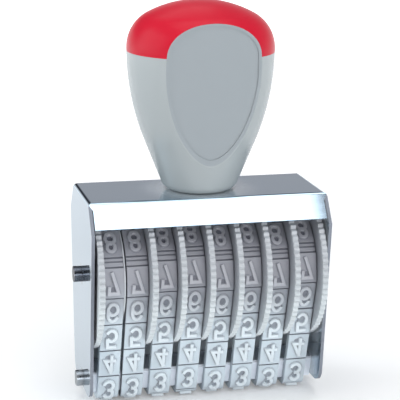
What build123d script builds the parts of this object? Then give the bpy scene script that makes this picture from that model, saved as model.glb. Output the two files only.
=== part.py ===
"""Hand numbering machine: eight setting wheels on one axle carry eight rubber type bands round a bridge bar.

The printing face lies on z = 0, the row of wheels runs along X, the front is -Y and the grip points up.
"""

import os
from math import asin, atan2, cos, hypot, pi, radians, sin, tan

from build123d import *

os.makedirs("parts", exist_ok=True)

# Folded sheet frame
sheet = 0.8
plate_depth = 21.3
skirt_depth = 29.2
skirt_height = 5.6
skirt_slit = 0.25
cheek_depth = 31.0
cheek_foot_depth = 22.4
cheek_bottom = 2.6
cheek_corner = 4.0
cheek_gap = 0.65
bend_radius = 1.0

# Wheels and bands
wheel_count = 8
pitch = 7.0
band_thickness = 1.7
band_radius = 13.5
rim_radius = 18.3
rim_width = 1.3
rim_clearance = 1.15
rim_beads = 72
bead_depth = 0.45
side_gap = 0.12
wheel_gap = 0.21
drum_gap = 0.3
drum_wall = 1.8
drum_floor = 1.2
hub_radius = 4.5
divider_width = 0.35
divider_gap = 0.16
axle_radius = 2.5
axle_z = 31.5
running_clearance = 0.05

# Bridge bar behind the printing face
face_half_depth = 2.9
face_corner_radius = 2.55
bridge_top = 7.4
bridge_chamfer = 0.5

# Grip, a turned shape with a flat panel in front and behind
grip_radius = 17.9
grip_widest = 34.7
foot_round = 3.2
flank_radius = 60.0
flank_lean = 22.0
crown_radius = 9.4
crown_turn = 62.0
cap_edge = 34.0
boss_radius = 8.0
boss_height = 5.0
panel_cut = 4.2
panel_lean = 4.4
panel_thickness = 1.4
panel_inset = 0.12
panel_rim = 0.45
panel_rim_height = 0.25

# Fasteners
screw_clearance = 0.1
screw_length = 6.0
slot_width = 0.7
slot_depth = 0.8
head_chamfer = 0.3
axle_screw_radius = 1.5
axle_screw_head = 1.95
axle_screw_height = 2.0
bridge_screw_radius = 1.2
bridge_screw_head = 2.0
bridge_screw_height = 1.6
handle_screw_radius = 2.5
handle_screw_head = 4.4
handle_screw_height = 0.6
handle_screw_length = 12.0
washer_radius = 5.5
washer_thickness = 0.3
insert_radius = 4.0
insert_length = 13.0
insert_inset = 0.6

band_width = pitch - rim_width - 2 * side_gap - wheel_gap
first_pitch = band_width + divider_width + 2 * divider_gap
row_length = first_pitch + (wheel_count - 2) * pitch
wheels_end = row_length / 2 + band_width / 2 + side_gap + rim_width
cheek_inner = wheels_end + cheek_gap
frame_width = 2 * (cheek_inner + sheet)
plate_under = axle_z + rim_radius + rim_clearance
frame_top = plate_under + sheet
skirt_bottom = frame_top - skirt_height
cheek_shoulder_z = frame_top - skirt_height * (cheek_depth - plate_depth) / (skirt_depth - plate_depth)
drum_radius = band_radius - band_thickness - drum_gap
bridge_screw_z = (band_thickness + bridge_top) / 2
grip_widest_z = frame_top + grip_widest
cap_edge_z = frame_top + cap_edge
band_x = [-row_length / 2]
for n in range(wheel_count - 1):
    band_x.append(-row_length / 2 + first_pitch + n * pitch)

# Both straight runs of a band lean inwards by one angle, from the drum down to the bridge
run_length = hypot(face_half_depth, axle_z - face_corner_radius)
run_tilt = atan2(face_half_depth, axle_z - face_corner_radius)
band_lean = asin((band_radius - face_corner_radius) / run_length) - run_tilt

panel_y = grip_radius - panel_cut
panel_direction = (0, -cos(radians(panel_lean)), -sin(radians(panel_lean)))
panel_plane = Plane(origin=(0, -panel_y, grip_widest_z), x_dir=(1, 0, 0), z_dir=panel_direction)
rear_direction = (0, -panel_direction[1], panel_direction[2])
rear_plane = Plane(origin=(0, panel_y, grip_widest_z), x_dir=(-1, 0, 0), z_dir=rear_direction)


def side_plane(side, z):
    """Plane on the outer face of a cheek, facing away from the frame."""
    return Plane(origin=(side * frame_width / 2, 0, z), x_dir=(0, 1, 0), z_dir=(side, 0, 0))


def band_loop(inset):
    """Loop of a band at one depth below its outer face: drum arc, leaning runs, corners and flat face."""
    drum = band_radius - inset
    corner = face_corner_radius - inset
    run_top = (drum * cos(band_lean), axle_z - drum * sin(band_lean))
    run_end = (face_half_depth + corner * cos(band_lean), face_corner_radius - corner * sin(band_lean))
    middle = (band_lean + pi / 2) / 2
    knuckle = (face_half_depth + corner * cos(middle), face_corner_radius - corner * sin(middle))
    face_end = (face_half_depth, face_corner_radius - corner)
    left = [(-y, z) for y, z in (run_top, run_end, knuckle, face_end)]
    Line(run_top, run_end)
    ThreePointArc(run_end, knuckle, face_end)
    Line(face_end, left[3])
    ThreePointArc(left[3], left[2], left[1])
    Line(left[1], left[0])
    ThreePointArc(left[0], (0, axle_z + drum), run_top)


def bead_ring():
    """Outline of a rim: one outer point and one inner point for each bead."""
    points = []
    for bead in range(2 * rim_beads):
        radius = rim_radius - bead_depth * (bead % 2)
        angle = bead * pi / rim_beads
        points.append((radius * cos(angle), axle_z + radius * sin(angle)))
    Polyline(*points, close=True)


def grip_profile(inset):
    """Half profile of the grip, drawn inset from its outer surface: rounded foot, straight flank, bulge and crown."""
    lean = radians(flank_lean)
    bulge = flank_radius - inset
    shoulder = (grip_radius - flank_radius + bulge * cos(lean), grip_widest_z - bulge * sin(lean))
    foot = (shoulder[0] - (shoulder[1] - frame_top) * tan(lean), frame_top)
    turn = radians(crown_turn)
    dome = (grip_radius - crown_radius * (1 - cos(turn))) / cos(turn)
    FilletPolyline((0, frame_top), foot, shoulder, radius=foot_round)
    flank = JernArc(start=shoulder, tangent=(sin(lean), cos(lean)), radius=bulge, arc_size=flank_lean)
    crown = JernArc(start=flank @ 1, tangent=(0, 1), radius=crown_radius - inset, arc_size=crown_turn)
    top = JernArc(start=crown @ 1, tangent=crown % 1, radius=dome - inset, arc_size=90 - crown_turn)
    Line(top @ 1, (0, frame_top))


def panel_outline(inset):
    """Flat face that the panel plane cuts on a grip drawn inset from its outer surface."""
    with BuildPart() as blank:
        with BuildSketch(Plane.XZ):
            with BuildLine():
                grip_profile(inset)
            make_face()
        revolve(axis=Axis.Z)
        split(bisect_by=panel_plane, keep=Keep.BOTTOM)
    return blank.faces().sort_by(Axis.Y)[0]


# Frame: a top plate with leaning skirts in front and behind, and a cheek at each end
with BuildPart() as frame:
    with BuildSketch(Plane.YZ.offset(-frame_width / 2)):
        with BuildLine():
            Polyline(
                (-skirt_depth / 2, skirt_bottom),
                (-plate_depth / 2, frame_top),
                (plate_depth / 2, frame_top),
                (skirt_depth / 2, skirt_bottom),
            )
            offset(amount=sheet, side=Side.RIGHT)
        make_face()
    extrude(amount=frame_width)
    with BuildSketch(Plane.YZ.offset(-frame_width / 2), Plane.YZ.offset(cheek_inner)):
        with BuildLine():
            Polyline(
                (-cheek_foot_depth / 2, cheek_bottom),
                (-cheek_depth / 2, cheek_shoulder_z),
                (-plate_depth / 2, frame_top),
                (plate_depth / 2, frame_top),
                (cheek_depth / 2, cheek_shoulder_z),
                (cheek_foot_depth / 2, cheek_bottom),
                close=True,
            )
        cheek = make_face()
        fillet(cheek.vertices().group_by(Axis.Y)[0], radius=cheek_corner)
    extrude(amount=sheet)
    top_edges = frame.edges().filter_by(GeomType.LINE).filter_by(lambda edge: edge.center().Z > frame_top - 0.01)
    bends = top_edges.filter_by_position(Axis.X, -frame_width / 2, -frame_width / 2)
    bends += top_edges.filter_by_position(Axis.X, frame_width / 2, frame_width / 2)
    bends += top_edges.filter_by_position(Axis.Y, -plate_depth / 2, -plate_depth / 2)
    bends += top_edges.filter_by_position(Axis.Y, plate_depth / 2, plate_depth / 2)
    fillet(bends, radius=bend_radius)
    slit_z = skirt_bottom + (plate_under - skirt_bottom) / 2 - sheet
    with Locations((-cheek_inner + skirt_slit / 2, 0, slit_z), (cheek_inner - skirt_slit / 2, 0, slit_z)):
        Box(skirt_slit, 2 * cheek_depth, plate_under - skirt_bottom, mode=Mode.SUBTRACT)
    with BuildSketch(Plane.YZ):
        with Locations((0, axle_z)):
            Circle(axle_screw_radius + screw_clearance)
        with Locations((0, bridge_screw_z)):
            Circle(bridge_screw_radius + screw_clearance)
    extrude(amount=frame_width, both=True, mode=Mode.SUBTRACT)
    with BuildSketch(Plane.XY.offset(frame_top)):
        Circle(handle_screw_radius + screw_clearance)
    extrude(amount=-2 * sheet, mode=Mode.SUBTRACT)
frame.part.label = "frame"
export_step(frame.part, "parts/frame.step")

# Axle: a plain rod between the cheeks, bored at both ends for its screws
with BuildPart() as axle:
    with BuildSketch(Plane.YZ.offset(-cheek_inner)):
        with Locations((0, axle_z)):
            Circle(axle_radius)
    extrude(amount=2 * cheek_inner)
    for side in (-1, 1):
        with BuildSketch(side_plane(side, axle_z)):
            Circle(axle_screw_radius)
        extrude(amount=-screw_length, mode=Mode.SUBTRACT)
axle.part.label = "axle"
export_step(axle.part, "parts/axle.step")

# Spacers: a ring on each end of the axle keeps the wheels off the cheeks
with BuildPart() as axle_spacers:
    for side in (-1, 1):
        with BuildSketch(Plane.YZ.offset(side * cheek_inner)):
            with Locations((0, axle_z)):
                Circle(hub_radius)
                Circle(axle_radius, mode=Mode.SUBTRACT)
        extrude(amount=side * (wheels_end + side_gap - cheek_inner))
axle_spacers.part.label = "axle_spacers"
export_step(axle_spacers.part, "parts/axle_spacers.step")

# Slotted cheese-head screws, one pair into the axle and one pair into the bridge bar
screw_pairs = [
    ("axle_screws", axle_z, axle_screw_radius, axle_screw_head, axle_screw_height),
    ("bridge_screws", bridge_screw_z, bridge_screw_radius, bridge_screw_head, bridge_screw_height),
]
for pair_name, screw_z, shank_radius, head_radius, head_height in screw_pairs:
    with BuildPart() as screws:
        for side in (-1, 1):
            seat = side_plane(side, screw_z)
            with BuildSketch(seat):
                Circle(shank_radius)
            extrude(amount=-screw_length)
            with BuildSketch(seat):
                Circle(head_radius)
            extrude(amount=head_height)
            head_edges = screws.edges().filter_by(GeomType.CIRCLE).group_by(Axis.X)[side]
            chamfer(head_edges.sort_by(SortBy.RADIUS)[-1], head_chamfer)
            with BuildSketch(seat.offset(head_height)):
                Rectangle(slot_width, 3 * head_radius)
            extrude(amount=-slot_depth, mode=Mode.SUBTRACT)
    screws.part.label = pair_name
    export_step(screws.part, f"parts/{pair_name}.step")

# Bridge bar: fills the foot of the band loops, so that the type face rests on a flat anvil
with BuildPart() as bridge:
    with BuildSketch(Plane.YZ.offset(-cheek_inner)):
        with BuildLine():
            band_loop(band_thickness)
        make_face()
        with Locations((0, bridge_top / 2)):
            Rectangle(2 * band_radius, bridge_top, mode=Mode.INTERSECT)
    extrude(amount=2 * cheek_inner)
    chamfer(bridge.edges().filter_by(Axis.X).group_by(Axis.Z)[-1], bridge_chamfer)
    for side in (-1, 1):
        with BuildSketch(side_plane(side, bridge_screw_z)):
            Circle(bridge_screw_radius)
        extrude(amount=-screw_length, mode=Mode.SUBTRACT)
bridge.part.label = "bridge"
export_step(bridge.part, "parts/bridge.step")

# Setting wheels: a beaded rim beside a hollow drum; the first wheel faces the other way
for n in range(wheel_count):
    side = -1 if n == 0 else 1
    drum_start = band_x[n] - side * band_width / 2
    rim_start = band_x[n] + side * (band_width / 2 + side_gap)
    with BuildPart() as wheel:
        with BuildSketch(Plane.YZ.offset(rim_start)):
            with BuildLine():
                bead_ring()
            make_face()
        extrude(amount=side * rim_width)
        with BuildSketch(Plane.YZ.offset(drum_start)):
            with Locations((0, axle_z)):
                Circle(drum_radius)
        extrude(amount=side * (band_width + side_gap))
        with BuildSketch(Plane.YZ.offset(drum_start)):
            with Locations((0, axle_z)):
                Circle(drum_radius - drum_wall)
                Circle(hub_radius, mode=Mode.SUBTRACT)
        extrude(amount=side * (band_width - drum_floor), mode=Mode.SUBTRACT)
        if n == 0:
            with BuildSketch(Plane.YZ.offset(drum_start)):
                with Locations((0, axle_z)):
                    Circle(band_radius)
                    Circle(drum_radius - drum_wall, mode=Mode.SUBTRACT)
            extrude(amount=-side * divider_width)
        with BuildSketch(Plane.YZ):
            with Locations((0, axle_z)):
                Circle(axle_radius + running_clearance)
        extrude(amount=frame_width, both=True, mode=Mode.SUBTRACT)
    wheel.part.label = f"wheel_{n + 1}"
    export_step(wheel.part, f"parts/wheel_{n + 1}.step")

# Type bands: closed rubber loops round the drums and the bridge bar
for n in range(wheel_count):
    with BuildPart() as band:
        with BuildSketch(Plane.YZ.offset(band_x[n] - band_width / 2)):
            with BuildLine():
                band_loop(0)
            make_face()
            with BuildLine():
                band_loop(band_thickness)
            make_face(mode=Mode.SUBTRACT)
        extrude(amount=band_width)
    band.part.label = f"band_{n + 1}"
    export_step(band.part, f"parts/band_{n + 1}.step")

# Grip panels: thin inlays with a raised rim round a bare field
panel_face = panel_outline(panel_inset)
field_face = panel_outline(panel_inset + panel_rim)
with BuildPart() as panel_pocket:
    extrude(to_extrude=panel_face, amount=-panel_thickness)
with BuildPart() as front_panel:
    add(panel_pocket.part)
    extrude(to_extrude=field_face, amount=-panel_rim_height, mode=Mode.SUBTRACT)
front_panel.part.label = "front_panel"
export_step(front_panel.part, "parts/front_panel.step")
with BuildPart() as rear_panel:
    mirror(front_panel.part, about=Plane.XZ)
rear_panel.part.label = "rear_panel"
export_step(rear_panel.part, "parts/rear_panel.step")

# Grip body: turned up to the cap edge, with a round boss on top that carries the cap
with BuildPart() as handle_body:
    with BuildSketch(Plane.XZ):
        with BuildLine():
            grip_profile(0)
        make_face()
        with Locations((0, cap_edge_z + grip_radius)):
            Rectangle(4 * grip_radius, 2 * grip_radius, mode=Mode.SUBTRACT)
    revolve(axis=Axis.Z)
    with BuildSketch(Plane.XY.offset(cap_edge_z)):
        Circle(boss_radius)
    extrude(amount=boss_height)
    split(bisect_by=panel_plane, keep=Keep.BOTTOM)
    split(bisect_by=rear_plane, keep=Keep.BOTTOM)
    add(panel_pocket.part, mode=Mode.SUBTRACT)
    mirror(panel_pocket.part, about=Plane.XZ, mode=Mode.SUBTRACT)
    with BuildSketch(Plane.XY.offset(frame_top + insert_inset)):
        Circle(insert_radius)
    extrude(amount=insert_length, mode=Mode.SUBTRACT)
    with BuildSketch(Plane.XY.offset(frame_top)):
        Circle(handle_screw_radius)
    extrude(amount=insert_inset, mode=Mode.SUBTRACT)
handle_body.part.label = "handle_body"
export_step(handle_body.part, "parts/handle_body.step")

# Grip cap: the crown of the grip, with a socket for the boss
with BuildPart() as handle_cap:
    with BuildSketch(Plane.XZ):
        with BuildLine():
            grip_profile(0)
        make_face()
        with Locations((0, cap_edge_z - 2 * grip_radius)):
            Rectangle(4 * grip_radius, 4 * grip_radius, mode=Mode.SUBTRACT)
    revolve(axis=Axis.Z)
    with BuildSketch(Plane.XY.offset(cap_edge_z)):
        Circle(boss_radius)
    extrude(amount=boss_height, mode=Mode.SUBTRACT)
    split(bisect_by=panel_plane, keep=Keep.BOTTOM)
    split(bisect_by=rear_plane, keep=Keep.BOTTOM)
    add(panel_pocket.part, mode=Mode.SUBTRACT)
    mirror(panel_pocket.part, about=Plane.XZ, mode=Mode.SUBTRACT)
handle_cap.part.label = "handle_cap"
export_step(handle_cap.part, "parts/handle_cap.step")

# Grip fastening: a screw and washer under the top plate, into an insert moulded in the grip
with BuildPart() as handle_insert:
    with BuildSketch(Plane.XY.offset(frame_top + insert_inset)):
        Circle(insert_radius)
        Circle(handle_screw_radius, mode=Mode.SUBTRACT)
    extrude(amount=insert_length)
handle_insert.part.label = "handle_insert"
export_step(handle_insert.part, "parts/handle_insert.step")

with BuildPart() as handle_washer:
    with BuildSketch(Plane.XY.offset(plate_under)):
        Circle(washer_radius)
        Circle(handle_screw_radius, mode=Mode.SUBTRACT)
    extrude(amount=-washer_thickness)
handle_washer.part.label = "handle_washer"
export_step(handle_washer.part, "parts/handle_washer.step")

with BuildPart() as handle_screw:
    with BuildSketch(Plane.XY.offset(plate_under - washer_thickness)):
        Circle(handle_screw_head)
    extrude(amount=-handle_screw_height)
    chamfer(handle_screw.edges().group_by(Axis.Z)[0], head_chamfer)
    with BuildSketch(Plane.XY.offset(plate_under - washer_thickness)):
        Circle(handle_screw_radius)
    extrude(amount=handle_screw_length)
handle_screw.part.label = "handle_screw"
export_step(handle_screw.part, "parts/handle_screw.step")
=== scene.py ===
"""Looks of a hand numbering machine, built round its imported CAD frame. Lengths are in metres."""

from collections import namedtuple
from math import asin, atan2, cos, hypot, pi, radians, sin, sqrt

import bmesh
import bpy
from mathutils import Matrix, Vector


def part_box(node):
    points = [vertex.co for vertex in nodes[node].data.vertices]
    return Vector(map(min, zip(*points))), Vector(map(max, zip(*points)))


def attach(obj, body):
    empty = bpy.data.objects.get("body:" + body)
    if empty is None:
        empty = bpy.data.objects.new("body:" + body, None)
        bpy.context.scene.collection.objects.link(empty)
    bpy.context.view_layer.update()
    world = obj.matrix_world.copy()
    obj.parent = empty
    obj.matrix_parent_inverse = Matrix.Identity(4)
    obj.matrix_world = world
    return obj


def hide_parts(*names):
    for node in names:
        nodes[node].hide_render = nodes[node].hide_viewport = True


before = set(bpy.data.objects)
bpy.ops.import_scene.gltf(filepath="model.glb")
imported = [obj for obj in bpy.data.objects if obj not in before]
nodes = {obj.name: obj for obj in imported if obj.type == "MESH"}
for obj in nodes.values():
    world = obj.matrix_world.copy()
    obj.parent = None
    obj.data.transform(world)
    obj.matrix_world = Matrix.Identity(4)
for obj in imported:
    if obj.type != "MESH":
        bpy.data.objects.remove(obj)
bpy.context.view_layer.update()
scene = bpy.context.scene
MM = 0.001

# Frame and grip. The finish of a panel's raised rim stops just above the rim's foot.
SHEET_THICKNESS = 0.8 * MM
PANEL_RIM_HEIGHT = 0.25 * MM
PANEL_RIM_FINISHED = 0.9 * PANEL_RIM_HEIGHT

# A sheared edge looks hardly sideways and mostly forward or back
EDGE_SIDEWAYS_MOST = 0.1
EDGE_FORWARD_LEAST = 0.5

# Edges eased as wide as folding, moulding and polishing leave them
EASED_EDGES = {
    "frame": 0.2 * MM,
    "handle_body": 0.25 * MM,
    "handle_cap": 0.25 * MM,
    "front_panel": 0.15 * MM,
    "rear_panel": 0.15 * MM,
}
EASED_STEPS = 2
EASED_FROM = radians(30)

# Setting wheels and their beaded rims. A bead takes a share of its pitch and a groove takes the rest, and
# both ends of a bead are rounded over a shoulder.
WHEEL_COUNT = 8
AXLE_LOW, AXLE_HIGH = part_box("axle")
AXLE_Z = (AXLE_LOW.z + AXLE_HIGH.z) / 2
RIM_ROOT = 16.4 * MM
RIM_WIDTH = 1.3 * MM
RIM_OVERLAP = 0.03 * MM
BEAD_COUNT = 72
BEAD_STEPS = 8
BEAD_DEPTH = 0.55 * MM
BEAD_SHARE = 0.58
BEAD_ROUND = 0.352 * MM
BEAD_SHOULDER_IN = 0.099 * MM
BEAD_SHOULDER_DOWN = 0.11 * MM

# Band loop: drum arc, two leaning runs, and the flat face with its rounded corners
BAND_LOW, BAND_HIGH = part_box("band_1")
BAND_WIDTH = BAND_HIGH.x - BAND_LOW.x
BAND_RADIUS = BAND_HIGH.z - AXLE_Z
BAND_THICKNESS = 1.68 * MM
FACE_HALF_DEPTH = 2.9 * MM
FACE_CORNER = 2.55 * MM
LOOP_SPAN = hypot(FACE_HALF_DEPTH, AXLE_Z - FACE_CORNER)
LOOP_TILT = atan2(FACE_HALF_DEPTH, AXLE_Z - FACE_CORNER)
BAND_LEAN = asin((BAND_RADIUS - FACE_CORNER) / LOOP_SPAN) - LOOP_TILT
HALF_ARC = (pi / 2 + BAND_LEAN) * BAND_RADIUS
RUN_LENGTH = sqrt(LOOP_SPAN**2 - (BAND_RADIUS - FACE_CORNER) ** 2)
CORNER_LENGTH = (pi / 2 - BAND_LEAN) * FACE_CORNER
HALF_LOOP = HALF_ARC + RUN_LENGTH + CORNER_LENGTH + FACE_HALF_DEPTH

# Cells of a band, one pad for each character from the first cell down the front. The length that is
# left over is two plain strips above the first cell. Each band has crept round by its own shift.
CHARACTERS = "76543210/-.  98"
FIRST_CELL = 16.3 * MM
CELL_PITCH = 7.6 * MM
CELL_GROOVE = 0.3 * MM
GROOVE_DEPTH = 0.45 * MM
LOWER_STRIP_SHARE = 0.42
BAND_SHIFTS = [shift * MM for shift in (0.0, -0.1, -1.0, -1.7, -0.3, -0.7, 0.2, -1.0)]

# Pads. Near the drum they stay flatter than the loop, less by what they settle.
PAD_EDGE = 0.1 * MM
PAD_STEP = 0.55 * MM
PAD_FLATNESS = 0.6
PAD_SETTLE = 0.14 * MM
NEAR_DRUM = HALF_ARC + CELL_PITCH / 3

# Raised type, with films of dried ink in its hollows. Each stroke stands one layer above the one before.
TYPE_HEIGHT = 5.6 * MM
TYPE_WIDTH = 3.15 * MM
TYPE_RELIEF = 0.6 * MM
STROKE_WIDTH = 0.8 * MM
STROKE_EDGE = 0.09 * MM
STROKE_TAPER = 0.08 * MM
STROKE_ROOT = 0.15 * MM
STROKE_STEP = 0.5 * MM
STROKE_LAYER = 0.015 * MM
STROKE_OVERRUN = STROKE_WIDTH / 3
STROKE_LEAST_MITRE = 0.5
ARC_STEP = 20  # degrees
INK_HEIGHT = 0.03 * MM
INK_ROWS = 13
INK_SLOT = 1

# Finishes: height of the grain, depth that light reaches in pale plastic and rubber, and the heights
# between which painted shade darkens the bands on their way up over the drums
GRAIN_HEIGHT = 0.1 * MM
LIGHT_DEPTH = 1.2 * MM
TOP_SHADE_LOW, TOP_SHADE_HIGH = 18 * MM, 34 * MM

# Floor, whose own glow rises to plain white between two distances from the machine
FLOOR_Z = -TYPE_RELIEF
FLOOR_REACH = 6.0
GLOW_NEAR, GLOW_FAR = 0.15, 0.9
GLOW_LEAST = 0.2

# Studio. The camera and gloss see a sky, coloured by the height of the direction, and a dark flag high on
# the left, which fades out over these shares of the direction's X and Z. An even grey lights the machine.
SKY_STOPS = (
    (0.125, (1.0, 1.0, 1.0)),
    (0.18, (0.53, 0.52, 0.54)),
    (0.3, (0.52, 0.51, 0.53)),
    (0.5, (0.22, 0.22, 0.25)),
    (1.0, (0.2, 0.2, 0.22)),
)
SKY_LIGHT = (0.25, 0.26, 0.28)
FLAG_DARK = (0.06, 0.06, 0.07)
FLAG_RIGHT_END = (-0.05, 0.1)
FLAG_LOWER_END = (0.12, 0.18)

LAMP_TARGET = Vector((0.0, 0.0, 0.05))

# Camera
CAMERA_PLACE = Vector((-83.41, -334.31, 132.99)) * MM
CAMERA_YAW = radians(14.117)
CAMERA_PITCH = radians(13.712)
CAMERA_ROLL = radians(0.644)
SENSOR_WIDTH = 36.0
FOCAL_PIXELS = 1438.5
CENTER_PIXELS = (201.6, 198.8)
FRAME_PIXELS = 400
CLIP_START = 0.01


# Meshes


def new_piece(name, mesh, material, body):
    """Object from a mesh, riding on a body, with its material."""
    piece = bpy.data.objects.new(name, mesh)
    scene.collection.objects.link(piece)
    mesh.materials.append(material)
    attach(piece, body)
    return piece


def shade_smooth(mesh, sharp_from):
    """Smooth shading with sharp edges above an angle."""
    work = bmesh.new()
    work.from_mesh(mesh)
    for edge in work.edges:
        edge.smooth = not (edge.is_manifold and edge.calc_face_angle(0.0) > sharp_from)
    for face in work.faces:
        face.smooth = True
    work.to_mesh(mesh)
    work.free()


def skin_rings(rings, closed=True):
    """Closed mesh from a series of closed rings of points, which meets its start or has a cap at each end."""
    mesh = bpy.data.meshes.new("rings")
    count = len(rings[0])
    points = [point for ring in rings for point in ring]
    faces = []
    if not closed:
        faces.append(tuple(reversed(range(count))))
        faces.append(tuple(range(len(points) - count, len(points))))
    for i in range(len(rings) if closed else len(rings) - 1):
        near, far = i * count, (i + 1) % len(rings) * count
        for j in range(count):
            k = (j + 1) % count
            faces.append((near + j, near + k, far + k, far + j))
    mesh.from_pydata(points, [], faces)
    mesh.update()
    return mesh


def loop_point(distance):
    """Point (y, z) and outward direction of a band's outer face, by distance from the top down the front."""
    along = distance % (2 * HALF_LOOP)
    side = -1
    if along > HALF_LOOP:
        along = 2 * HALF_LOOP - along
        side = 1
    if along < HALF_ARC:
        angle = along / BAND_RADIUS
        out = (sin(angle), cos(angle))
        point = (BAND_RADIUS * out[0], AXLE_Z + BAND_RADIUS * out[1])
    elif along < HALF_ARC + RUN_LENGTH:
        down = along - HALF_ARC
        out = (cos(BAND_LEAN), -sin(BAND_LEAN))
        start = (BAND_RADIUS * out[0], AXLE_Z + BAND_RADIUS * out[1])
        point = (start[0] - down * sin(BAND_LEAN), start[1] - down * cos(BAND_LEAN))
    elif along < HALF_LOOP - FACE_HALF_DEPTH:
        angle = BAND_LEAN + (along - HALF_ARC - RUN_LENGTH) / FACE_CORNER
        out = (cos(angle), -sin(angle))
        point = (FACE_HALF_DEPTH + FACE_CORNER * out[0], FACE_CORNER + FACE_CORNER * out[1])
    else:
        out = (0.0, -1.0)
        point = (HALF_LOOP - along, 0.0)
    return Vector((side * point[0], point[1])), Vector((side * out[0], out[1]))


def pad_lift(distance, middle):
    """How far a pad stands above the loop because it stays flatter than the drum it bends round."""
    center, out = loop_point(middle)
    point, _ = loop_point(distance)
    near_drum = abs((middle + HALF_LOOP) % (2 * HALF_LOOP) - HALF_LOOP) < NEAR_DRUM
    drop = max(0.0, (center - point).dot(out)) if near_drum else 0.0
    return PAD_FLATNESS * (drop - PAD_SETTLE * near_drum)


def cell_spans(shift):
    """Start and end of every cell of a band, going down the front, with the two plain strips last."""
    start = FIRST_CELL + shift
    spans = []
    for _ in CHARACTERS:
        spans.append((start, start + CELL_PITCH))
        start += CELL_PITCH
    rest = 2 * HALF_LOOP - len(CHARACTERS) * CELL_PITCH
    parting = start + rest * LOWER_STRIP_SHARE
    return spans + [(start, parting), (parting, start + rest)]


def band_mesh(center_x, shift):
    """Rubber band with a pad for each cell and grooves between them."""
    samples = []
    for start, end in cell_spans(shift):
        middle = (start + end) / 2
        low, high = start + CELL_GROOVE / 2, end - CELL_GROOVE / 2
        steps = max(2, round((high - low) / PAD_STEP))
        samples.append((low, -GROOVE_DEPTH, middle))
        samples.append((low, -PAD_EDGE, middle))
        for i in range(steps + 1):
            samples.append((low + PAD_EDGE + (high - low - 2 * PAD_EDGE) * i / steps, 0.0, middle))
        samples.append((high, -PAD_EDGE, middle))
        samples.append((high, -GROOVE_DEPTH, middle))
    rings = []
    half = BAND_WIDTH / 2
    for distance, height, middle in samples:
        point, out = loop_point(distance)
        raised = height + (pad_lift(distance, middle) if height > -GROOVE_DEPTH else 0.0)
        section = [
            (-half, -BAND_THICKNESS),
            (-half, raised - PAD_EDGE),
            (-half + PAD_EDGE, raised),
            (half - PAD_EDGE, raised),
            (half, raised - PAD_EDGE),
            (half, -BAND_THICKNESS),
        ]
        rings.append([(center_x + x, point.x + out.x * h, point.y + out.y * h) for x, h in section])
    return skin_rings(rings)


def arc(x, y, radius_x, radius_y, start, end):
    """Points along an elliptic arc, with its angles in degrees."""
    steps = max(3, round(abs(end - start) / ARC_STEP))
    angles = [radians(start + (end - start) * i / steps) for i in range(steps + 1)]
    return [(x + radius_x * cos(angle), y + radius_y * sin(angle)) for angle in angles]


def turned(strokes):
    """Strokes turned upside down by half a turn."""
    return [([(-x, -y) for x, y in points], closed) for points, closed in strokes]


# Strokes of each character as centre lines in a box from -0.5 to 0.5, and whether each one is a closed ring
SIX = [
    (arc(0.0, -0.18, 0.5, 0.32, 0, 340), True),
    ([(-0.5, -0.18)] + arc(0.0, 0.1, 0.5, 0.4, 180, 30), False),
]
STROKES = {
    "0": [(arc(0.0, 0.0, 0.5, 0.5, 0, 340), True)],
    "1": [([(0.1, -0.5), (0.1, 0.5)], False), ([(-0.3, 0.25), (0.1, 0.5)], False)],
    "2": [
        (arc(0.0, 0.2, 0.5, 0.3, 165, -30) + [(-0.5, -0.5)], False),
        ([(-0.5, -0.5), (0.5, -0.5)], False),
    ],
    "3": [
        (arc(0.0, 0.26, 0.44, 0.24, 155, -90), False),
        (arc(0.0, -0.23, 0.5, 0.27, 90, -155), False),
    ],
    "4": [([(0.15, -0.5), (0.15, 0.5)], False), ([(0.15, 0.5), (-0.5, -0.22), (0.5, -0.22)], False)],
    "5": [
        ([(0.42, 0.5), (-0.38, 0.5), (-0.42, 0.0)], False),
        (arc(0.0, -0.18, 0.5, 0.32, 145, -145), False),
    ],
    "6": SIX,
    "7": [([(-0.44, 0.2), (-0.5, 0.5), (0.5, 0.5), (-0.12, -0.5)], False)],
    "8": [(arc(0.0, 0.25, 0.42, 0.25, 0, 340), True), (arc(0.0, -0.23, 0.5, 0.27, 0, 340), True)],
    "9": turned(SIX),
    "/": [([(-0.5, -0.5), (0.5, 0.5)], False)],
    "-": [([(-0.4, 0.0), (0.4, 0.0)], False)],
    ".": [([(-0.12, -0.42), (0.12, -0.42)], False)],
}

# Hollows where old ink stays, as ellipses in the same box: x and y of the middle, half width and half height
HOLLOWS = {
    "0": [(0.0, 0.0, 0.5, 0.5)],
    "2": [(-0.05, 0.2, 0.4, 0.24)],
    "3": [(0.0, 0.26, 0.4, 0.22), (0.0, -0.23, 0.45, 0.25)],
    "4": [(-0.14, -0.4, 0.36, 0.11)],
    "5": [(-0.02, -0.18, 0.46, 0.3)],
    "6": [(0.0, -0.18, 0.5, 0.32), (0.06, 0.3, 0.4, 0.18)],
    "7": [(-0.04, 0.33, 0.36, 0.15)],
    "8": [(0.0, 0.25, 0.42, 0.25), (0.0, -0.23, 0.5, 0.27)],
    "9": [(0.0, 0.18, 0.5, 0.32), (-0.06, -0.3, 0.4, 0.18)],
}


def ink_mesh(x, y, half_width, half_height):
    """Thin film of dried ink in a hollow of a character."""
    across, along = TYPE_WIDTH - STROKE_WIDTH, TYPE_HEIGHT - STROKE_WIDTH
    rings = []
    for i in range(INK_ROWS):
        share = cos(pi * (1 - (i + 0.5) / INK_ROWS))
        row = (y + half_height * share) * along
        reach = half_width * sqrt(1 - share * share) * across
        low, high = x * across - reach, x * across + reach
        corners = ((low, -INK_HEIGHT), (low, INK_HEIGHT), (high, INK_HEIGHT), (high, -INK_HEIGHT))
        rings.append([(side, row, height) for side, height in corners])
    mesh = skin_rings(rings, closed=False)
    for face in mesh.polygons:
        face.material_index = INK_SLOT
    return mesh


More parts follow.
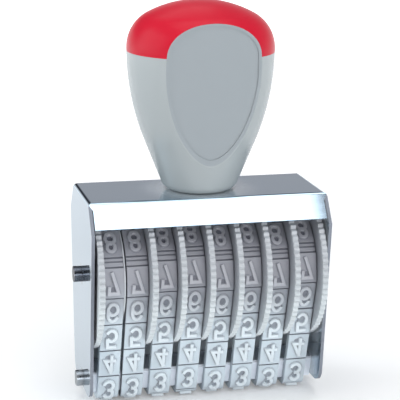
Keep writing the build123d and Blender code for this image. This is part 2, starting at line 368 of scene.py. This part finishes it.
def stroke_mesh(points, closed, top):
    """Raised stroke along a centre line: flat top with eased edges, sides that widen to the root."""
    line = [Vector((x * (TYPE_WIDTH - STROKE_WIDTH), y * (TYPE_HEIGHT - STROKE_WIDTH))) for x, y in points]
    if not closed:
        before_start = (line[0] - line[1]).normalized() * STROKE_OVERRUN
        past_end = (line[-1] - line[-2]).normalized() * STROKE_OVERRUN
        line[0] += before_start
        line[-1] += past_end
    path = []
    for i in range(len(line) if closed else len(line) - 1):
        start, end = line[i], line[(i + 1) % len(line)]
        pieces = max(1, round((end - start).length / STROKE_STEP))
        path += [start.lerp(end, j / pieces) for j in range(pieces)]
    if not closed:
        path.append(line[-1])
    half = STROKE_WIDTH / 2
    section = [
        (-half - STROKE_TAPER, -STROKE_ROOT),
        (-half, top - STROKE_EDGE),
        (-half + STROKE_EDGE, top),
        (half - STROKE_EDGE, top),
        (half, top - STROKE_EDGE),
        (half + STROKE_TAPER, -STROKE_ROOT),
    ]
    rings = []
    for i, point in enumerate(path):
        before = path[i - 1] if closed or i > 0 else point * 2 - path[1]
        after = path[(i + 1) % len(path)] if closed or i < len(path) - 1 else point * 2 - path[i - 1]
        arriving = (point - before).normalized()
        tangent = (arriving + (after - point).normalized()).normalized()
        across = Vector((tangent.y, -tangent.x)) / max(STROKE_LEAST_MITRE, tangent.dot(arriving))
        rings.append([(point.x + across.x * w, point.y + across.y * w, h) for w, h in section])
    return skin_rings(rings, closed)


def glyph_mesh(character):
    """Raised character centred on the origin; each stroke stands a hair above the one before."""
    parts = [ink_mesh(*hollow) for hollow in HOLLOWS.get(character, [])]
    for i, (points, closed) in enumerate(STROKES[character]):
        parts.append(stroke_mesh(points, closed, TYPE_RELIEF - STROKE_LAYER * (1 - i)))
    work = bmesh.new()
    for part in parts:
        work.from_mesh(part)
        bpy.data.meshes.remove(part)
    shape = bpy.data.meshes.new("glyph")
    work.to_mesh(shape)
    work.free()
    return shape


def type_mesh(center_x, shift, glyphs):
    """All raised characters of one band, bent onto their pads. A blank cell keeps its plain pad."""
    work = bmesh.new()
    for character, (start, end) in zip(CHARACTERS, cell_spans(shift)):
        if character not in glyphs:
            continue
        middle = (start + end) / 2
        first = len(work.verts)
        work.from_mesh(glyphs[character])
        work.verts.ensure_lookup_table()
        for vertex in work.verts[first:]:
            x, along, height = vertex.co
            point, out = loop_point(middle + along)
            lift = pad_lift(middle + along, middle) + height
            vertex.co = (center_x + x, point.x + out.x * lift, point.y + out.y * lift)
    bmesh.ops.recalc_face_normals(work, faces=work.faces)
    mesh = bpy.data.meshes.new("type")
    work.to_mesh(mesh)
    work.free()
    return mesh


def bead_ring_mesh(low_x, high_x, radius):
    """Ring of rounded beads across the rim of a setting wheel."""
    rings = []
    for i in range(BEAD_COUNT * BEAD_STEPS):
        angle = 2 * pi * (i - BEAD_STEPS / 2) / (BEAD_COUNT * BEAD_STEPS)
        share = 2 * (i % BEAD_STEPS) / BEAD_STEPS - 1
        bulge = min(1.0, abs(share) / BEAD_SHARE)
        crown = radius - BEAD_DEPTH * (1 - sqrt(1 - bulge * bulge))
        section = [
            (low_x, RIM_ROOT),
            (low_x, crown - BEAD_ROUND),
            (low_x + BEAD_SHOULDER_IN, crown - BEAD_SHOULDER_DOWN),
            (low_x + BEAD_ROUND, crown),
            (high_x - BEAD_ROUND, crown),
            (high_x - BEAD_SHOULDER_IN, crown - BEAD_SHOULDER_DOWN),
            (high_x, crown - BEAD_ROUND),
            (high_x, RIM_ROOT),
        ]
        rings.append([(x, r * cos(angle), AXLE_Z + r * sin(angle)) for x, r in section])
    return skin_rings(rings)


# Shader nodes. A value is another node's socket, a plain number or a colour.


def feed(tree, socket, value):
    """Link a socket to another node, or set its plain value."""
    if isinstance(value, bpy.types.NodeSocket):
        tree.links.new(value, socket)
    elif socket.type == "RGBA":
        socket.default_value = (*value, 1.0)
    else:
        socket.default_value = value


def calculate(tree, operation, *values):
    """Result of one arithmetic step on some values."""
    node = tree.nodes.new("ShaderNodeMath")
    node.operation = operation
    for socket, value in zip(node.inputs, values):
        feed(tree, socket, value)
    return node.outputs["Value"]


def map_range(tree, value, low, high, to_low=0.0, to_high=1.0, steps="LINEAR"):
    """A value carried over from one range to another, and held within it."""
    node = tree.nodes.new("ShaderNodeMapRange")
    node.interpolation_type = steps
    feed(tree, node.inputs["Value"], value)
    feed(tree, node.inputs["From Min"], low)
    feed(tree, node.inputs["From Max"], high)
    feed(tree, node.inputs["To Min"], to_low)
    feed(tree, node.inputs["To Max"], to_high)
    return node.outputs["Result"]


def mix_colors(tree, mask, under, over, blend="MIX"):
    """One colour laid over another where the mask is one."""
    node = tree.nodes.new("ShaderNodeMix")
    node.data_type = "RGBA"
    node.blend_type = blend
    feed(tree, node.inputs["Factor"], mask)
    feed(tree, node.inputs["A"], under)
    feed(tree, node.inputs["B"], over)
    return node.outputs["Result"]


def noise(tree, place, scale, detail):
    """Cloudy noise, as a value that changes from place to place."""
    node = tree.nodes.new("ShaderNodeTexNoise")
    feed(tree, node.inputs["Vector"], place)
    feed(tree, node.inputs["Scale"], scale)
    feed(tree, node.inputs["Detail"], detail)
    return node.outputs["Fac"]


def object_place(tree):
    """Where a point of the surface lies on its own piece."""
    return tree.nodes.new("ShaderNodeTexCoord").outputs["Object"]


# Effects that several finishes share, as node groups with one output each


def make_group(name, output, **inputs):
    """New shader node group, the values that it takes in, and the socket that it puts out."""
    group = bpy.data.node_groups.new(name, "ShaderNodeTree")
    for label, default in inputs.items():
        socket = group.interface.new_socket(name=label, in_out="INPUT", socket_type="NodeSocketFloat")
        socket.default_value = default
    group.interface.new_socket(name=output, in_out="OUTPUT", socket_type="NodeSocketFloat")
    taken = group.nodes.new("NodeGroupInput").outputs
    given = group.nodes.new("NodeGroupOutput").inputs[output]
    return group, taken, given


def place_group(tree, group, **values):
    """Output of a shared effect, placed with its own values."""
    node = tree.nodes.new("ShaderNodeGroup")
    node.node_tree = group
    for label, value in values.items():
        node.inputs[label].default_value = value
    return node.outputs[0]


def build_uneven_tone():
    """Slow uneven tone, as moulded or polished surfaces have: a value round one."""
    group, taken, given = make_group("uneven_tone", "Tone", Scale=60.0, Amount=0.05)
    cloud = noise(group, object_place(group), taken["Scale"], 3.0)
    centered = calculate(group, "SUBTRACT", cloud, 0.5)
    feed(group, given, calculate(group, "MULTIPLY_ADD", centered, taken["Amount"], 1.0))
    return group


def build_fine_grain():
    """Fine surface grain as a height."""
    group, taken, given = make_group("fine_grain", "Height", Scale=2500.0, Stretch=1.0)
    stretch = group.nodes.new("ShaderNodeCombineXYZ")
    feed(group, stretch.inputs["X"], taken["Stretch"])
    feed(group, stretch.inputs["Y"], 1.0)
    feed(group, stretch.inputs["Z"], 1.0)
    drawn_out = group.nodes.new("ShaderNodeVectorMath")
    drawn_out.operation = "MULTIPLY"
    feed(group, drawn_out.inputs[0], object_place(group))
    feed(group, drawn_out.inputs[1], stretch.outputs["Vector"])
    feed(group, given, noise(group, drawn_out.outputs["Vector"], taken["Scale"], 2.0))
    return group


def build_recess_mask():
    """Mask of grooves, corners and gaps, found by ambient occlusion, where shade and pale light are painted
    in: one deep inside, zero in the open.
    """
    group, taken, given = make_group("recess_mask", "Mask", Reach=0.001, Amount=1.0, Open=0.95, Deep=0.3)
    shade = group.nodes.new("ShaderNodeAmbientOcclusion")
    shade.samples = 6
    feed(group, shade.inputs["Distance"], taken["Reach"])
    shut_in = map_range(group, shade.outputs["AO"], taken["Deep"], taken["Open"], 1.0, 0.0)
    feed(group, given, calculate(group, "MULTIPLY", shut_in, taken["Amount"]))
    return group


def build_height_mask():
    """Mask that rises from zero at one height to its full amount at another."""
    group, taken, given = make_group("height_mask", "Mask", Low=0.0, High=1.0, Amount=1.0)
    split = group.nodes.new("ShaderNodeSeparateXYZ")
    feed(group, split.inputs["Vector"], object_place(group))
    low, high, amount = taken["Low"], taken["High"], taken["Amount"]
    feed(group, given, map_range(group, split.outputs["Z"], low, high, 0.0, amount, "SMOOTHSTEP"))
    return group


UNEVEN_TONE = build_uneven_tone()
HEIGHT_MASK = build_height_mask()
FINE_GRAIN = build_fine_grain()
RECESS_MASK = build_recess_mask()


# Finishes. Open and deep are how much of its surroundings a point sees at the mouth and the bottom of a
# recess, which fades out between them.

Tone = namedtuple("Tone", "scale amount")
Grain = namedtuple("Grain", "scale stretch strength")
Rise = namedtuple("Rise", "color low high amount")
Recess = namedtuple("Recess", "color reach amount open deep", defaults=(0.95, 0.3))


def recess_mask(tree, recess):
    """Mask of the recesses of one size."""
    return place_group(
        tree, RECESS_MASK, Reach=recess.reach, Amount=recess.amount, Open=recess.open, Deep=recess.deep
    )


def make_finish(
    name,
    color,
    roughness,
    metallic=0.0,
    specular=0.5,
    subsurface=0.0,
    tone=Tone(60.0, 0.06),
    grain=Grain(2500.0, 1.0, 0.02),
    painted_top_shade=None,
    between=None,
    corners=None,
    painted_pale_inside=None,
):
    """Material whose colour and roughness drift slowly, with fine grain.

    It can take painted shade higher up over the drums, between neighbouring pieces and in narrow corners.
    Metal can take painted pale light deep on its inner faces, where it turns less metallic.
    """
    material = bpy.data.materials.new(name)
    material.use_nodes = True
    tree = material.node_tree
    shader = tree.nodes["Principled BSDF"].inputs
    shader["Metallic"].default_value = metallic
    shader["Specular IOR Level"].default_value = specular
    shader["Subsurface Weight"].default_value = subsurface
    shader["Subsurface Radius"].default_value = (1.0, 0.95, 0.9)
    shader["Subsurface Scale"].default_value = LIGHT_DEPTH
    drift = place_group(tree, UNEVEN_TONE, Scale=tone.scale, Amount=tone.amount)
    surface = mix_colors(tree, 1.0, color, drift, "MULTIPLY")
    # Painted shade: darker towards the top, between two heights
    if painted_top_shade:
        rise = place_group(tree, HEIGHT_MASK, Low=painted_top_shade.low, High=painted_top_shade.high, Amount=painted_top_shade.amount)
        surface = mix_colors(tree, rise, surface, painted_top_shade.color)
    # Painted shade in gaps between pieces and in narrow corners
    for recess in filter(None, (between, corners)):
        surface = mix_colors(tree, recess_mask(tree, recess), surface, recess.color)
    # Painted pale light deep on inner faces, which turn less metallic there
    if painted_pale_inside:
        inside = recess_mask(tree, painted_pale_inside)
        feed(tree, shader["Metallic"], map_range(tree, inside, 0.0, 1.0, metallic, 0.0))
        surface = mix_colors(tree, inside, surface, painted_pale_inside.color)
    feed(tree, shader["Base Color"], surface)
    feed(tree, shader["Roughness"], calculate(tree, "MULTIPLY", drift, roughness))
    height = place_group(tree, FINE_GRAIN, Scale=grain.scale, Stretch=grain.stretch)
    bump = tree.nodes.new("ShaderNodeBump")
    bump.inputs["Strength"].default_value = grain.strength
    bump.inputs["Distance"].default_value = GRAIN_HEIGHT
    feed(tree, bump.inputs["Height"], height)
    feed(tree, shader["Normal"], bump.outputs["Normal"])
    return material


# Metals

polished_sheet = make_finish(
    "polished_sheet",
    (0.36, 0.455, 0.54),
    roughness=0.07,
    metallic=1.0,
    tone=Tone(45.0, 0.12),
    grain=Grain(900.0, 0.08, 0.03),
    # Painted shade in narrow folds, seams and slits
    corners=Recess((0.06, 0.06, 0.075), reach=0.9 * MM, amount=0.8),
    # Painted pale light deep on the frame's inner faces, standing in for a bright reflection
    painted_pale_inside=Recess((0.75, 0.8, 0.84), reach=8 * MM, amount=0.85, open=0.8),
)
sheared_and_shaded_steel = make_finish(
    "sheared_and_shaded_steel",
    # Darker than the polished sheet: rough sheared steel with painted shade
    (0.22, 0.24, 0.28),
    roughness=0.55,
    metallic=0.3,
    tone=Tone(400.0, 0.3),
    grain=Grain(2500.0, 0.2, 0.2),
)
turned_steel = make_finish(
    "turned_steel",
    (0.5, 0.51, 0.54),
    roughness=0.3,
    metallic=1.0,
    tone=Tone(200.0, 0.2),
    grain=Grain(3500.0, 0.3, 0.1),
)
screw_steel = make_finish(
    "screw_steel",
    (0.115, 0.125, 0.145),
    roughness=0.26,
    metallic=1.0,
    tone=Tone(600.0, 0.7),
    grain=Grain(3500.0, 1.0, 0.15),
    # Painted shade in slots and corners
    corners=Recess((0.02, 0.02, 0.03), reach=1.1 * MM, amount=0.8),
)
bridge_screw_steel = make_finish(
    "bridge_screw_steel",
    (0.36, 0.385, 0.41),
    roughness=0.3,
    metallic=1.0,
    tone=Tone(600.0, 0.6),
    grain=Grain(3500.0, 1.0, 0.15),
    # Painted shade in slots and corners
    corners=Recess((0.06, 0.06, 0.07), reach=0.9 * MM, amount=0.7),
)
bridge_metal = make_finish(
    "bridge_metal",
    (0.86, 0.91, 0.98),
    roughness=0.6,
    metallic=0.4,
    tone=Tone(120.0, 0.15),
    grain=Grain(1500.0, 0.1, 0.08),
)
insert_brass = make_finish(
    "insert_brass", (0.7, 0.52, 0.24), roughness=0.3, metallic=1.0, tone=Tone(200.0, 0.2)
)

# Wheels, bands, type and ink

wheel_plastic = make_finish(
    "wheel_plastic",
    (0.68, 0.73, 0.75),
    roughness=0.32,
    subsurface=0.12,
    tone=Tone(260.0, 0.25),
    # Painted shade: darker towards the top, between neighbouring pieces and in narrow corners
    painted_top_shade=Rise((0.37, 0.37, 0.4), low=24 * MM, high=38 * MM, amount=0.6),
    between=Recess((0.36, 0.37, 0.4), reach=8 * MM, amount=0.7, open=0.85),
    corners=Recess((0.17, 0.17, 0.19), reach=1.1 * MM, amount=0.9),
)
band_rubber = make_finish(
    "band_rubber",
    (0.62, 0.7, 0.755),
    roughness=0.5,
    subsurface=0.08,
    tone=Tone(220.0, 0.3),
    grain=Grain(4000.0, 1.0, 0.15),
    # Painted shade: darker towards the top, between neighbouring bands and in grooves and corners
    painted_top_shade=Rise((0.27, 0.26, 0.295), low=TOP_SHADE_LOW, high=TOP_SHADE_HIGH, amount=0.83),
    between=Recess((0.33, 0.33, 0.36), reach=8 * MM, amount=0.25, open=0.75),
    corners=Recess((0.185, 0.195, 0.23), reach=1.2 * MM, amount=0.85, open=0.84, deep=0.52),
)
lit_type_rubber = make_finish(
    "lit_type_rubber",
    # Lighter than the band rubber: a painted highlight on the raised type
    (0.77, 0.84, 0.88),
    roughness=0.42,
    subsurface=0.1,
    tone=Tone(300.0, 0.25),
    grain=Grain(4000.0, 1.0, 0.1),
    # Painted shade: darker towards the top, between neighbouring bands and in narrow corners
    painted_top_shade=Rise((0.36, 0.35, 0.39), low=TOP_SHADE_LOW, high=TOP_SHADE_HIGH, amount=0.82),
    between=Recess((0.38, 0.38, 0.42), reach=8 * MM, amount=0.2, open=0.75),
    corners=Recess((0.34, 0.36, 0.4), reach=0.6 * MM, amount=0.4),
)
old_ink = make_finish(
    "old_ink",
    (0.3, 0.33, 0.37),
    roughness=0.5,
    tone=Tone(400.0, 0.6),
    grain=Grain(4000.0, 1.0, 0.15),
    # Painted shade: darker towards the top
    painted_top_shade=Rise((0.13, 0.13, 0.16), low=TOP_SHADE_LOW, high=TOP_SHADE_HIGH, amount=0.85),
)

# Grip

grip_plastic = make_finish(
    "grip_plastic",
    (0.38, 0.41, 0.417),
    roughness=0.26,
    tone=Tone(40.0, 0.05),
    grain=Grain(5000.0, 1.0, 0.05),
)
panel_plastic = make_finish(
    "panel_plastic",
    (0.3, 0.33, 0.35),
    roughness=0.45,
    tone=Tone(50.0, 0.05),
    grain=Grain(5000.0, 1.0, 0.06),
)
cap_plastic = make_finish(
    "cap_plastic",
    (0.57, 0.013, 0.032),
    roughness=0.3,
    specular=0.1,
    tone=Tone(50.0, 0.08),
    grain=Grain(5000.0, 1.0, 0.02),
)


# Pieces from the CAD frame


def dress(node, material):
    """Give a carried-over CAD node its finish."""
    mesh = nodes[node].data
    mesh.materials.clear()
    mesh.materials.append(material)


def second_finish(mesh, material, chosen):
    """Give the chosen faces of a mesh another finish."""
    mesh.materials.append(material)
    for face in mesh.polygons:
        if chosen(face):
            face.material_index = len(mesh.materials) - 1


def paint_shade_on_sheared_edges():
    """Rough steel on the front and rear edges of the cheeks, where the sheet was sheared, painted darker for
    shade.
    """
    cheek_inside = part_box("frame")[1].x - SHEET_THICKNESS

    def is_sheared(face):
        in_cheek = abs(face.center.x) > cheek_inside
        looks_sideways = abs(face.normal.x) >= EDGE_SIDEWAYS_MOST
        return in_cheek and not looks_sideways and abs(face.normal.y) > EDGE_FORWARD_LEAST

    second_finish(nodes["frame"].data, sheared_and_shaded_steel, is_sheared)


def match_panel_rim(node):
    """Grip plastic on the raised rim of an oval panel, down to just above the rim's foot."""
    mesh = nodes[node].data
    outward = max(mesh.polygons, key=lambda face: face.area * abs(face.center.y)).normal
    crest = max(vertex.co.dot(outward) for vertex in mesh.vertices)
    second_finish(mesh, grip_plastic, lambda face: crest - face.center.dot(outward) < PANEL_RIM_FINISHED)


def ease_edges(node, width):
    """Narrow bevel along the sharp edges of a CAD node."""
    easing = nodes[node].modifiers.new("easing", "BEVEL")
    easing.width = width
    easing.segments = EASED_STEPS
    easing.limit_method = "ANGLE"
    easing.angle_limit = EASED_FROM


dress("frame", polished_sheet)
dress("axle", turned_steel)
dress("axle_screws", screw_steel)
dress("axle_spacers", wheel_plastic)
dress("bridge", bridge_metal)
dress("bridge_screws", bridge_screw_steel)
dress("handle_body", grip_plastic)
dress("handle_cap", cap_plastic)
dress("front_panel", panel_plastic)
dress("rear_panel", panel_plastic)
dress("handle_insert", insert_brass)
dress("handle_washer", screw_steel)
dress("handle_screw", screw_steel)
paint_shade_on_sheared_edges()
match_panel_rim("front_panel")
match_panel_rim("rear_panel")
for node, width in EASED_EDGES.items():
    ease_edges(node, width)


# Bands with their type, and the beaded rims


def build_band(n, glyphs):
    """Rubber band in place of its plain CAD loop, and the raised type on it."""
    low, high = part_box(f"band_{n}")
    center_x = (low.x + high.x) / 2
    shift = BAND_SHIFTS[n - 1]
    loop = band_mesh(center_x, shift)
    shade_smooth(loop, sharp_from=radians(25))
    band = new_piece(f"type_band_{n}", loop, band_rubber, "frame")
    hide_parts(f"band_{n}")
    letters = type_mesh(center_x, shift, glyphs)
    shade_smooth(letters, sharp_from=radians(30))
    new_piece(f"type_faces_{n}", letters, lit_type_rubber, "frame")
    letters.materials.append(old_ink)


def build_bead_ring(n):
    """Ring of beads round the rim of a wheel: on the left of the first wheel, on the right of the rest."""
    low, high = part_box(f"wheel_{n}")
    rim_low = low.x if n == 1 else high.x - RIM_WIDTH
    rim_high = rim_low + RIM_WIDTH
    beads = bead_ring_mesh(rim_low - RIM_OVERLAP, rim_high + RIM_OVERLAP, high.z - AXLE_Z)
    shade_smooth(beads, sharp_from=radians(50))
    new_piece(f"bead_ring_{n}", beads, wheel_plastic, f"wheel_{n}")


glyphs = {character: glyph_mesh(character) for character in sorted(STROKES)}
for n in range(1, WHEEL_COUNT + 1):
    build_band(n, glyphs)
    dress(f"wheel_{n}", wheel_plastic)
    build_bead_ring(n)
for shape in glyphs.values():
    bpy.data.meshes.remove(shape)


# Stage: pale floor, studio surroundings, lamps and camera


def background_rays(tree):
    """One for the rays that show the background: from the camera, off gloss and through glass."""
    rays = tree.nodes.new("ShaderNodeLightPath").outputs
    seen = calculate(tree, "MAXIMUM", rays["Is Camera Ray"], rays["Is Glossy Ray"])
    return calculate(tree, "MAXIMUM", seen, rays["Is Transmission Ray"])


def floor_finish():
    """Pale matt floor that shows as plain white away from the machine and keeps its shadow."""
    material = bpy.data.materials.new("floor_white")
    material.use_nodes = True
    tree = material.node_tree
    shader = tree.nodes["Principled BSDF"].inputs
    shader["Base Color"].default_value = (0.8, 0.8, 0.8, 1.0)
    shader["Roughness"].default_value = 0.9
    shader["Specular IOR Level"].default_value = 0.1
    shader["Emission Color"].default_value = (1.0, 1.0, 1.0, 1.0)
    distance = tree.nodes.new("ShaderNodeVectorMath")
    distance.operation = "LENGTH"
    feed(tree, distance.inputs[0], object_place(tree))
    glow = map_range(tree, distance.outputs["Value"], GLOW_NEAR, GLOW_FAR, GLOW_LEAST, 1.0)
    feed(tree, shader["Emission Strength"], calculate(tree, "MULTIPLY", background_rays(tree), glow))
    return material


def build_floor():
    """Square floor that touches the lowest type."""
    corners = ((-1, -1), (1, -1), (1, 1), (-1, 1))
    mesh = bpy.data.meshes.new("floor")
    mesh.from_pydata([(x * FLOOR_REACH, y * FLOOR_REACH, FLOOR_Z) for x, y in corners], [], [(0, 1, 2, 3)])
    mesh.materials.append(floor_finish())
    floor = bpy.data.objects.new("floor", mesh)
    scene.collection.objects.link(floor)


def sky_color(tree, height):
    """Colour of the sky at a height of the direction: white at the horizon and grey above it."""
    ramp = tree.nodes.new("ShaderNodeValToRGB")
    stops = ramp.color_ramp.elements
    stops[0].position = SKY_STOPS[0][0]
    stops[1].position = SKY_STOPS[-1][0]
    for position, _ in SKY_STOPS[1:-1]:
        stops.new(position)
    for stop, (_, color) in zip(stops, SKY_STOPS):
        stop.color = (*color, 1.0)
    feed(tree, ramp.inputs["Fac"], height)
    return ramp.outputs["Color"]


def build_world():
    """Studio whose sky and flag show to the camera and in gloss, and which lights with an even grey."""
    world = bpy.data.worlds.new("studio")
    scene.world = world
    world.use_nodes = True
    tree = world.node_tree
    direction = tree.nodes.new("ShaderNodeSeparateXYZ")
    feed(tree, direction.inputs["Vector"], tree.nodes.new("ShaderNodeTexCoord").outputs["Generated"])
    sideways, height = direction.outputs["X"], direction.outputs["Z"]
    right_of_flag = map_range(tree, sideways, *FLAG_RIGHT_END)
    below_flag = map_range(tree, height, *FLAG_LOWER_END, 1.0, 0.0)
    off_flag = calculate(tree, "MAXIMUM", right_of_flag, below_flag)
    room = mix_colors(tree, off_flag, FLAG_DARK, sky_color(tree, height))
    light = mix_colors(tree, background_rays(tree), SKY_LIGHT, room)
    feed(tree, tree.nodes["Background"].inputs["Color"], light)


def soft_lamp(name, place, size, power, color=(1.0, 1.0, 1.0)):
    """Rectangular lamp aimed at the middle of the machine."""
    lamp = bpy.data.lights.new(name, "AREA")
    lamp.shape = "RECTANGLE"
    lamp.size, lamp.size_y = size
    lamp.energy = power
    lamp.color = color
    holder = bpy.data.objects.new(name, lamp)
    holder.location = place
    holder.rotation_euler = (LAMP_TARGET - Vector(place)).to_track_quat("-Z", "Y").to_euler()
    scene.collection.objects.link(holder)


def build_camera():
    """Camera in front of the machine, turned to its right by the yaw, down by the pitch, and rolled."""
    along_floor = cos(CAMERA_PITCH)
    ahead = Vector((sin(CAMERA_YAW) * along_floor, cos(CAMERA_YAW) * along_floor, -sin(CAMERA_PITCH)))
    level = Vector((cos(CAMERA_YAW), -sin(CAMERA_YAW), 0))
    upright = level.cross(ahead)
    right = level * cos(CAMERA_ROLL) + upright * sin(CAMERA_ROLL)
    up = upright * cos(CAMERA_ROLL) - level * sin(CAMERA_ROLL)
    lens = bpy.data.cameras.new("camera")
    lens.sensor_width = SENSOR_WIDTH
    lens.lens = FOCAL_PIXELS / FRAME_PIXELS * SENSOR_WIDTH
    lens.shift_x = -(CENTER_PIXELS[0] - FRAME_PIXELS / 2) / FRAME_PIXELS
    lens.shift_y = (CENTER_PIXELS[1] - FRAME_PIXELS / 2) / FRAME_PIXELS
    lens.clip_start = CLIP_START
    camera = bpy.data.objects.new("camera", lens)
    camera.matrix_world = Matrix.Translation(CAMERA_PLACE) @ Matrix((right, up, -ahead)).transposed().to_4x4()
    scene.collection.objects.link(camera)
    scene.camera = camera


build_floor()
build_world()
soft_lamp("top_lamp", (0.0, -0.1, 1.4), size=(1.3, 1.0), power=11.2)
soft_lamp("left_lamp", (-1.1, 0.2, 0.45), size=(1.1, 1.0), power=9.0, color=(0.9, 0.97, 1.0))
soft_lamp("skirt_lamp", (0.1665, -0.75, 1.05), size=(0.536, 0.4), power=2.2)
soft_lamp("low_front_lamp", (0.0, -1.2, 0.14), size=(1.2, 0.28), power=5.3)
soft_lamp("right_lamp", (0.9, -0.7, 0.13), size=(0.8, 0.26), power=3.0, color=(0.82, 0.94, 1.0))
soft_lamp("back_lamp", (0.0, 0.85, 1.0), size=(0.7, 0.4), power=0.9)
build_camera()
scene.view_settings.view_transform = "Standard"

bpy.context.view_layer.update()
